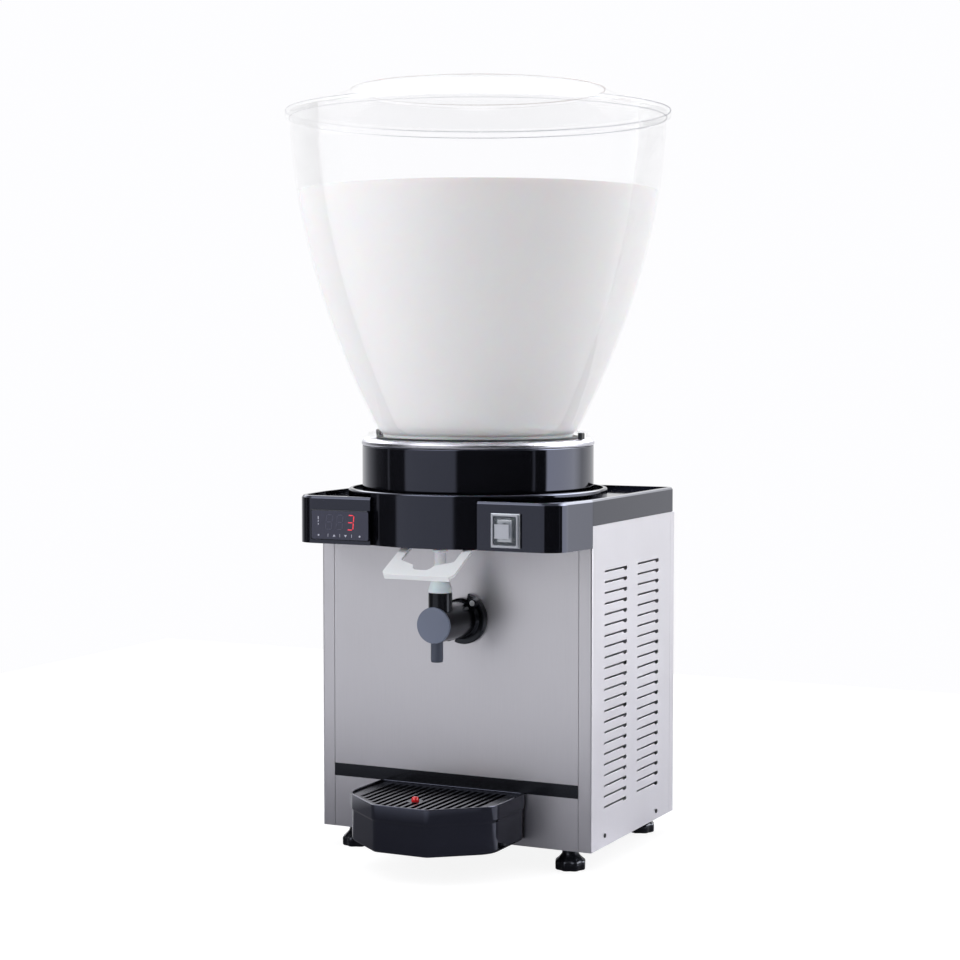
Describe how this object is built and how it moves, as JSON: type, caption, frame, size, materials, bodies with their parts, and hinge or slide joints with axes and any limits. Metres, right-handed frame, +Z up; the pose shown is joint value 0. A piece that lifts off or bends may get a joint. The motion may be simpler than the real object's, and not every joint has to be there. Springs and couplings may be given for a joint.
{
  "type": "ayran dispenser",
  "caption": "Counter-top chilled drink dispenser: flared clear bowl with lid and stirrer on a steel cabinet, lever tap, drip tray, controller and rocker switch.",
  "frame": {"origin": "on the standing surface, straight under the bowl's and stirrer's axis", "axes": "+Z up along the bowl's axis, -Y towards the tap and the user, +X to the user's right"},
  "size_m": [0.452, 0.452, 0.8993],
  "materials": {
    "steel_panel": "brushed stainless sheet with a fine vertical grain",
    "zinc_sheet": "galvanised sheet, satin",
    "stainless": "turned stainless steel, fine grain",
    "satin_ring": "satin turned ring",
    "gloss_black": "moulded black plastic, high gloss",
    "matte_black": "moulded black plastic, fine matte grain",
    "clear_plastic": "clear polycarbonate, polished",
    "yoghurt_drink": "opaque white yoghurt drink, smooth",
    "white_plastic": "white moulded plastic, satin gloss",
    "slate_plastic": "slate grey moulded plastic",
    "silicone": "translucent food grade silicone",
    "foam": "rigid insulation foam",
    "copper": "drawn copper tube",
    "display_window": "dark tinted display window, polished",
    "chrome_frame": "chromed plastic frame",
    "red_plastic": "red moulded plastic",
    "rubber": "black rubber",
    "fin_aluminium": "mill finish fins"
  },
  "bodies": {
    "root": {"right_side_panel": "steel_panel", "left_side_panel": "steel_panel", "front_panel": "steel_panel", "trim_strip": "gloss_black", "rear_panel": "steel_panel", "base_pan": "zinc_sheet", "top_plate": "zinc_sheet", "head_housing": "gloss_black", "collar": "gloss_black", "insulation_block": "foam", "seat_ring": "satin_ring", "bowl_gasket": "rubber", "evaporator_drum": "stainless", "evaporator_coil": "copper", "shaft_seal": "rubber", "bowl_stop_left": "matte_black", "bowl_stop_right": "matte_black", "gear_motor": "zinc_sheet", "tap_body": "matte_black", "tap_spout": "slate_plastic", "tap_screw_1": "stainless", "tap_screw_2": "stainless", "stem_seal": "rubber", "tap_spring": "stainless", "tap_boot": "silicone", "outlet_spigot": "stainless", "outlet_hose": "silicone", "lever_pin": "stainless", "lever_bracket": "zinc_sheet", "tray_bracket": "zinc_sheet", "controller_body": "matte_black", "display_window": "display_window", "switch_body": "chrome_frame", "switch_boot": "clear_plastic", "power_inlet": "matte_black", "compressor": "matte_black", "condenser": "fin_aluminium", "fan_shroud": "zinc_sheet", "fan_motor": "matte_black", "control_box": "matte_black", "suction_pipe": "copper", "filter_drier": "copper", "liquid_pipe": "copper"},
    "bowl": {"bowl": "clear_plastic", "drink": "yoghurt_drink"},
    "lid": {"lid": "clear_plastic"},
    "paddle": {"paddle": "white_plastic", "drive_shaft": "stainless"},
    "fan": {"fan_blade": "white_plastic"},
    "lever": {"tap_lever": "white_plastic"},
    "plunger": {"tap_plunger": "silicone"},
    "rocker": {"switch_rocker": "white_plastic"},
    "tray": {"drip_tray": "gloss_black"},
    "grille": {"drip_grille": "matte_black"},
    "float": {"tray_float": "red_plastic"},
    "foot_front_left": {"foot_1": "matte_black"},
    "foot_rear_left": {"foot_2": "matte_black"},
    "foot_front_right": {"foot_3": "matte_black"},
    "foot_rear_right": {"foot_4": "matte_black"}
  },
  "joints": [
    {"name": "bowl_lift", "type": "slide", "parent": "root", "child": "bowl", "axis": [0, 0, 1], "range_m": [0, 0.25]},
    {"name": "lid_lift", "type": "slide", "parent": "bowl", "child": "lid", "axis": [0, 0, 1], "range_m": [0, 0.15]},
    {"name": "paddle_spin", "type": "hinge", "parent": "root", "child": "paddle", "pos_m": [0, 0, 0.6], "axis": [0, 0, 1], "continuous": true},
    {"name": "fan_spin", "type": "hinge", "parent": "root", "child": "fan", "pos_m": [0.1103, 0.05268, 0.1268], "axis": [1, 0, 0], "continuous": true},
    {"name": "lever_press", "type": "hinge", "parent": "root", "child": "lever", "pos_m": [0.016, -0.098, 0.3906], "axis": [1, 0, 0], "range_deg": [0, 8], "stiffness_Nm_per_rad": 1.5},
    {"name": "plunger_press", "type": "slide", "parent": "root", "child": "plunger", "axis": [0, 0, -1], "range_m": [0, 0.0055], "deforming": ["tap_spring", "tap_boot", "outlet_hose"]},
    {"name": "rocker_tilt", "type": "hinge", "parent": "root", "child": "rocker", "pos_m": [0.1042, -0.1423, 0.3952], "axis": [1, 0, 0], "range_deg": [-7, 7]},
    {"name": "tray_pull", "type": "slide", "parent": "root", "child": "tray", "axis": [0, -1, 0], "range_m": [0, 0.11]},
    {"name": "grille_lift", "type": "slide", "parent": "tray", "child": "grille", "axis": [0, 0, 1], "range_m": [0, 0.06]},
    {"name": "float_rise", "type": "slide", "parent": "tray", "child": "float", "axis": [0, 0, 1], "range_m": [0, 0.012]},
    {"name": "foot_front_left_screw", "type": "hinge", "parent": "root", "child": "foot_front_left", "pos_m": [-0.14, -0.045, 0.0125], "axis": [0, 0, 1], "continuous": true},
    {"name": "foot_rear_left_screw", "type": "hinge", "parent": "root", "child": "foot_rear_left", "pos_m": [-0.14, 0.171, 0.0125], "axis": [0, 0, 1], "continuous": true},
    {"name": "foot_front_right_screw", "type": "hinge", "parent": "root", "child": "foot_front_right", "pos_m": [0.14, -0.045, 0.0125], "axis": [0, 0, 1], "continuous": true},
    {"name": "foot_rear_right_screw", "type": "hinge", "parent": "root", "child": "foot_rear_right", "pos_m": [0.14, 0.171, 0.0125], "axis": [0, 0, 1], "continuous": true}
  ],
  "couplings": [
    {"joint": "plunger_press", "follows": "lever_press", "m_per_rad": 0.0357}
  ]
}
